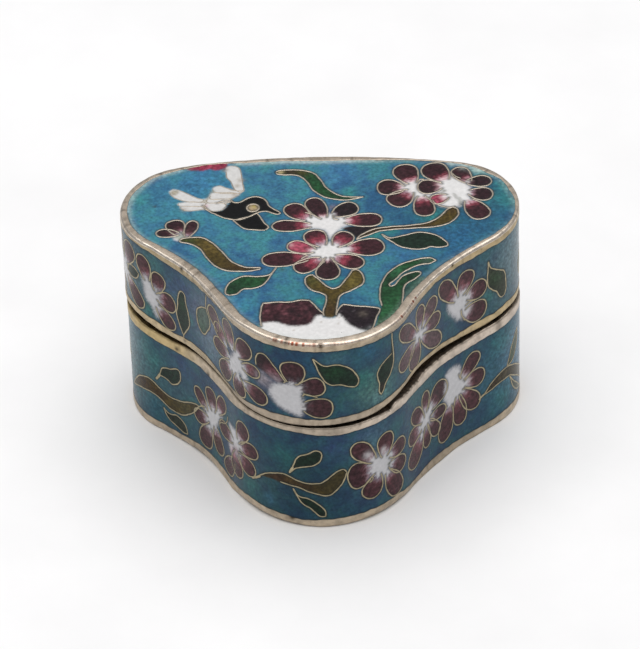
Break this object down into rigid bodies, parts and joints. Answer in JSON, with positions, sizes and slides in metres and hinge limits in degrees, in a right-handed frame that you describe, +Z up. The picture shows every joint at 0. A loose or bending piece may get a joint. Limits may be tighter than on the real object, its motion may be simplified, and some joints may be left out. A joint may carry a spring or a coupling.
{
  "type": "cloisonne enamel box",
  "caption": "Small lidded trinket box of enamelled copper, rounded-triangle plan with hollow front sides; the lid lifts off.",
  "frame": {"origin": "middle of the bounding box's bottom, on the surface the box stands on", "axes": "+Z up, +Y towards the nearly straight back, +X to the right as seen from the broad front lobe"},
  "size_m": [0.0622, 0.0465, 0.0378],
  "materials": {
    "turquoise_enamel": "glossy, mottled",
    "inner_enamel": "glossy, plain",
    "plum_enamel": "glossy",
    "white_enamel": "glossy",
    "green_enamel": "glossy",
    "black_enamel": "glossy",
    "gilt_brass": "worn gilt, satin",
    "dark_brass": "tarnished, matt"
  },
  "bodies": {
    "root": {"base_body": "turquoise_enamel", "base_foot_rim": "gilt_brass", "base_mouth_rim": "gilt_brass", "base_collar": "dark_brass", "lid_body": "turquoise_enamel", "lid_mouth_rim": "gilt_brass", "lid_top_rim": "gilt_brass"}
  },
  "joints": []
}
